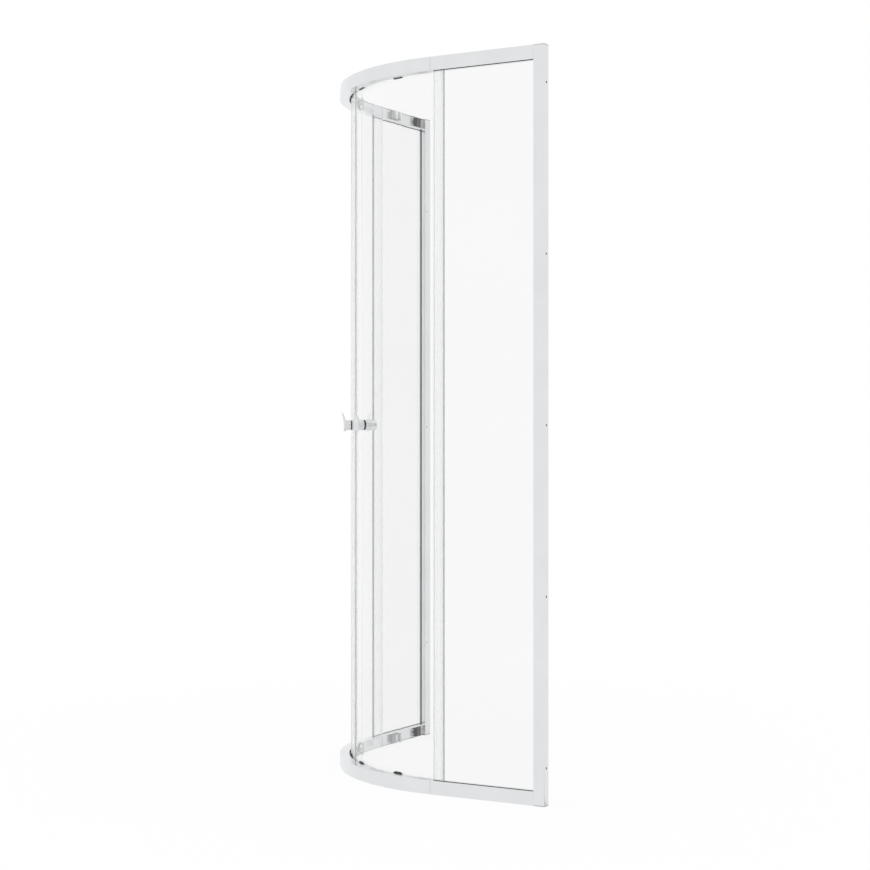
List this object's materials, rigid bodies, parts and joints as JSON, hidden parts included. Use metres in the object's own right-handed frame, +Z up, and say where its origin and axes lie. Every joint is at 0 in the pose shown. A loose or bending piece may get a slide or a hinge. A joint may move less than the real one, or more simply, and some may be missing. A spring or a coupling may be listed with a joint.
{
  "type": "quadrant shower enclosure",
  "caption": "Quadrant corner shower enclosure: curved rails, fixed glass side panels and curved sliding glass doors on sprung rollers, fixed to walls by channel profiles.",
  "frame": {"origin": "middle of the square footprint, on the plane that the bottom rail stands on", "axes": "+Z up; the two walls stand at +X and +Y; the curved entrance faces -X -Y; the right panel runs along the -Y side and the left panel along the -X side"},
  "size_m": [0.875, 0.875, 2],
  "materials": {
    "silver_aluminium": "bright silver anodised",
    "clear_glass": "clear toughened glass, 6 mm",
    "clear_seal": "translucent soft plastic",
    "magnet_rubber": "flexible magnet strip",
    "black_rubber": "soft black rubber",
    "grey_plastic": "moulded grey",
    "black_plastic": "moulded black",
    "white_plastic": "moulded white",
    "wheel_nylon": "moulded nylon",
    "chrome": "polished",
    "steel": "bright zinc"
  },
  "bodies": {
    "root": {"right_wall_profile": "silver_aluminium", "right_side_stile": "silver_aluminium", "right_fixed_glass": "clear_glass", "right_overlap_seal": "clear_seal", "left_wall_profile": "silver_aluminium", "left_side_stile": "silver_aluminium", "left_fixed_glass": "clear_glass", "left_overlap_seal": "clear_seal", "profile_end_caps": "grey_plastic", "stile_screws": "steel", "bottom_rail": "silver_aluminium", "top_rail": "silver_aluminium", "stile_gaskets": "black_rubber", "rail_gaskets": "black_rubber", "corner_brackets": "steel", "corner_blocks": "black_plastic", "door_stops": "white_plastic", "track_screws": "steel"},
    "right_door": {"right_door_glass": "clear_glass", "right_magnetic_seal": "clear_seal", "right_magnet_strip": "magnet_rubber", "right_trailing_seal": "clear_seal", "right_top_roller_bodies": "black_plastic", "right_bottom_roller_bodies": "black_plastic", "right_roller_bolts": "steel", "right_glass_bushes": "white_plastic", "right_roller_caps": "chrome", "right_handle_outer": "chrome", "right_handle_inner": "chrome", "right_handle_washers": "black_rubber", "right_handle_bolt": "steel", "right_leading_release_spring": "steel", "right_trailing_release_spring": "steel"},
    "right_leading_release_slide": {"right_leading_release_slide": "black_plastic"},
    "right_leading_bottom_wheel": {"right_leading_bottom_wheel": "wheel_nylon"},
    "right_leading_top_wheel": {"right_leading_top_wheel": "wheel_nylon"},
    "right_trailing_release_slide": {"right_trailing_release_slide": "black_plastic"},
    "right_trailing_bottom_wheel": {"right_trailing_bottom_wheel": "wheel_nylon"},
    "right_trailing_top_wheel": {"right_trailing_top_wheel": "wheel_nylon"},
    "left_door": {"left_door_glass": "clear_glass", "left_magnetic_seal": "clear_seal", "left_magnet_strip": "magnet_rubber", "left_trailing_seal": "clear_seal", "left_top_roller_bodies": "black_plastic", "left_bottom_roller_bodies": "black_plastic", "left_roller_bolts": "steel", "left_glass_bushes": "white_plastic", "left_roller_caps": "chrome", "left_handle_outer": "chrome", "left_handle_inner": "chrome", "left_handle_washers": "black_rubber", "left_handle_bolt": "steel", "left_leading_release_spring": "steel", "left_trailing_release_spring": "steel"},
    "left_leading_release_slide": {"left_leading_release_slide": "black_plastic"},
    "left_leading_bottom_wheel": {"left_leading_bottom_wheel": "wheel_nylon"},
    "left_leading_top_wheel": {"left_leading_top_wheel": "wheel_nylon"},
    "left_trailing_release_slide": {"left_trailing_release_slide": "black_plastic"},
    "left_trailing_bottom_wheel": {"left_trailing_bottom_wheel": "wheel_nylon"},
    "left_trailing_top_wheel": {"left_trailing_top_wheel": "wheel_nylon"}
  },
  "joints": [
    {"name": "right_door_travel", "type": "hinge", "parent": "root", "child": "right_door", "pos_m": [0.10105, 0.1655, 1], "axis": [0, 0, 1], "range_deg": [0, 23.1]},
    {"name": "right_leading_release_press", "type": "slide", "parent": "right_door", "child": "right_leading_release_slide", "axis": [0, 0, 1], "range_m": [-0.003, 0], "stiffness_N_per_m": 600, "springref_m": 0.003, "deforming": ["right_leading_release_spring"]},
    {"name": "right_leading_bottom_wheel_roll", "type": "hinge", "parent": "right_leading_release_slide", "child": "right_leading_bottom_wheel", "pos_m": [-0.21713, -0.3184, 0.0244], "axis": [-0.6018, -0.7986, 0], "range_deg": [-3, 1164]},
    {"name": "right_leading_top_wheel_roll", "type": "hinge", "parent": "right_door", "child": "right_leading_top_wheel", "pos_m": [-0.21713, -0.3184, 1.9756], "axis": [-0.6018, -0.7986, 0], "range_deg": [-1164, 3]},
    {"name": "right_trailing_release_press", "type": "slide", "parent": "right_door", "child": "right_trailing_release_slide", "axis": [0, 0, 1], "range_m": [-0.003, 0], "stiffness_N_per_m": 600, "springref_m": 0.003, "deforming": ["right_trailing_release_spring"]},
    {"name": "right_trailing_bottom_wheel_roll", "type": "hinge", "parent": "right_trailing_release_slide", "child": "right_trailing_bottom_wheel", "pos_m": [-0.04066, -0.40447, 0.0244], "axis": [-0.2588, -0.9659, 0], "range_deg": [-3, 1183]},
    {"name": "right_trailing_top_wheel_roll", "type": "hinge", "parent": "right_door", "child": "right_trailing_top_wheel", "pos_m": [-0.04066, -0.40447, 1.9756], "axis": [-0.2588, -0.9659, 0], "range_deg": [-1183, 3]},
    {"name": "left_door_travel", "type": "hinge", "parent": "root", "child": "left_door", "pos_m": [0.1655, 0.10105, 1], "axis": [0, 0, -1], "range_deg": [0, 23.1]},
    {"name": "left_leading_release_press", "type": "slide", "parent": "left_door", "child": "left_leading_release_slide", "axis": [0, 0, 1], "range_m": [-0.003, 0], "stiffness_N_per_m": 600, "springref_m": 0.003, "deforming": ["left_leading_release_spring"]},
    {"name": "left_leading_bottom_wheel_roll", "type": "hinge", "parent": "left_leading_release_slide", "child": "left_leading_bottom_wheel", "pos_m": [-0.3184, -0.21713, 0.0244], "axis": [-0.7986, -0.6018, 0], "range_deg": [-1164, 3]},
    {"name": "left_leading_top_wheel_roll", "type": "hinge", "parent": "left_door", "child": "left_leading_top_wheel", "pos_m": [-0.3184, -0.21713, 1.9756], "axis": [-0.7986, -0.6018, 0], "range_deg": [-3, 1164]},
    {"name": "left_trailing_release_press", "type": "slide", "parent": "left_door", "child": "left_trailing_release_slide", "axis": [0, 0, 1], "range_m": [-0.003, 0], "stiffness_N_per_m": 600, "springref_m": 0.003, "deforming": ["left_trailing_release_spring"]},
    {"name": "left_trailing_bottom_wheel_roll", "type": "hinge", "parent": "left_trailing_release_slide", "child": "left_trailing_bottom_wheel", "pos_m": [-0.40447, -0.04066, 0.0244], "axis": [-0.9659, -0.2588, 0], "range_deg": [-1183, 3]},
    {"name": "left_trailing_top_wheel_roll", "type": "hinge", "parent": "left_door", "child": "left_trailing_top_wheel", "pos_m": [-0.40447, -0.04066, 1.9756], "axis": [-0.9659, -0.2588, 0], "range_deg": [-3, 1183]}
  ],
  "couplings": [
    {"joint": "right_leading_bottom_wheel_roll", "follows": "right_door_travel", "ratio": 50.256},
    {"joint": "right_leading_top_wheel_roll", "follows": "right_door_travel", "ratio": -50.256},
    {"joint": "right_trailing_bottom_wheel_roll", "follows": "right_door_travel", "ratio": 51.063},
    {"joint": "right_trailing_top_wheel_roll", "follows": "right_door_travel", "ratio": -51.063},
    {"joint": "left_leading_bottom_wheel_roll", "follows": "left_door_travel", "ratio": -50.256},
    {"joint": "left_leading_top_wheel_roll", "follows": "left_door_travel", "ratio": 50.256},
    {"joint": "left_trailing_bottom_wheel_roll", "follows": "left_door_travel", "ratio": -51.063},
    {"joint": "left_trailing_top_wheel_roll", "follows": "left_door_travel", "ratio": 51.063}
  ]
}
